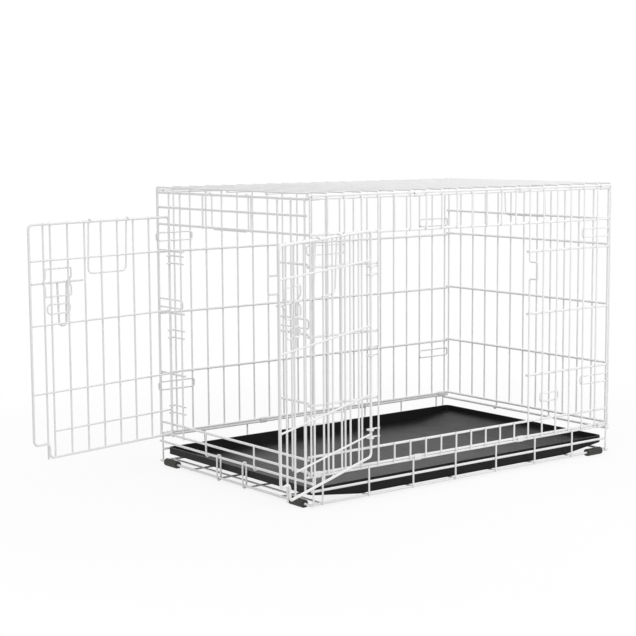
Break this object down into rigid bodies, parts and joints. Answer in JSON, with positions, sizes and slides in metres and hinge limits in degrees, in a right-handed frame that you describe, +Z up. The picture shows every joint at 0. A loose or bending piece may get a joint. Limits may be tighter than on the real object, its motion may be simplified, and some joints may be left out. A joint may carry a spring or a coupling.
{
  "type": "wire dog crate",
  "caption": "Folding wire dog crate: a mesh cabin on rubber feet with a front door and a side door on hook hinges, slide bolts, drop bails and a slide-out floor tray.",
  "frame": {"origin": "On the floor under the middle of the crate's floor, level with the soles of the feet.", "axes": "+X from the front end (the one with the small door) to the rear end, +Y from the side with the doorway to the plain side, +Z up."},
  "size_m": [1.1151, 0.6974, 0.5518],
  "materials": {
    "wire": "white satin coating on steel wire",
    "bolts": "white satin coating, rubbed where it slides",
    "clips": "white coated folded sheet",
    "tray": "matt moulded plastic with a fine grain",
    "feet": "matt black rubber"
  },
  "bodies": {
    "crate": {"base": "wire", "feet": "feet", "front_ties": "wire", "near_side": "wire", "far_side": "wire", "top": "wire", "front_end": "wire", "near_lower_clips": "clips", "far_lower_clips": "clips", "near_upper_clips": "clips", "far_upper_clips": "clips", "corner_catches": "wire", "front_door_hinges": "wire", "side_door_hinges": "wire", "front_strike": "wire", "side_strike": "wire"},
    "tray": {"tray": "tray"},
    "front_door": {"front_door": "wire", "front_keepers": "wire"},
    "front_bolt": {"front_bolt": "bolts"},
    "front_bail": {"front_bail": "wire"},
    "side_door": {"side_door": "wire", "side_keepers": "wire"},
    "side_bolt": {"side_bolt": "bolts"},
    "side_bail": {"side_bail": "wire"},
    "rear_end": {"rear_end": "wire"},
    "rear_bail": {"rear_bail": "wire"},
    "front_end_bail": {"front_end_bail": "wire"}
  },
  "joints": [
    {"name": "tray_slide", "type": "slide", "parent": "crate", "child": "tray", "axis": [1, 0, 0], "range_m": [0, 0.7]},
    {"name": "front_door_swing", "type": "hinge", "parent": "crate", "child": "front_door", "pos_m": [-0.3908, 0.18867, 0.28275], "axis": [0, 0, 1], "range_deg": [-85, 79]},
    {"name": "front_bolt_slide", "type": "slide", "parent": "front_door", "child": "front_bolt", "axis": [-0.9816, -0.1908, 0], "range_m": [0, 0.024]},
    {"name": "front_bail_swing", "type": "hinge", "parent": "front_door", "child": "front_bail", "pos_m": [-0.3908, 0.18867, 0.4945], "axis": [0.9816, 0.1908, 0], "range_deg": [0, 80]},
    {"name": "side_door_swing", "type": "hinge", "parent": "crate", "child": "side_door", "pos_m": [-0.251, -0.25132, 0.27975], "axis": [0, 0, 1], "range_deg": [-15, 150.5]},
    {"name": "side_bolt_slide", "type": "slide", "parent": "side_door", "child": "side_bolt", "axis": [-0.8704, -0.4924, 0], "range_m": [0, 0.024]},
    {"name": "side_bail_swing", "type": "hinge", "parent": "side_door", "child": "side_bail", "pos_m": [-0.251, -0.25132, 0.4815], "axis": [0.8704, 0.4924, 0], "range_deg": [0, 80]},
    {"name": "rear_end_fold", "type": "hinge", "parent": "crate", "child": "rear_end", "pos_m": [0.381, 0, 0.0515], "axis": [0, -1, 0], "range_deg": [0, 88]},
    {"name": "rear_bail_swing", "type": "hinge", "parent": "rear_end", "child": "rear_bail", "pos_m": [0.38108, 0, 0.54], "axis": [0, -1, 0], "range_deg": [0, 80]},
    {"name": "front_end_bail_swing", "type": "hinge", "parent": "crate", "child": "front_end_bail", "pos_m": [-0.38108, 0, 0.54], "axis": [0, -1, 0], "range_deg": [0, 80]}
  ]
}
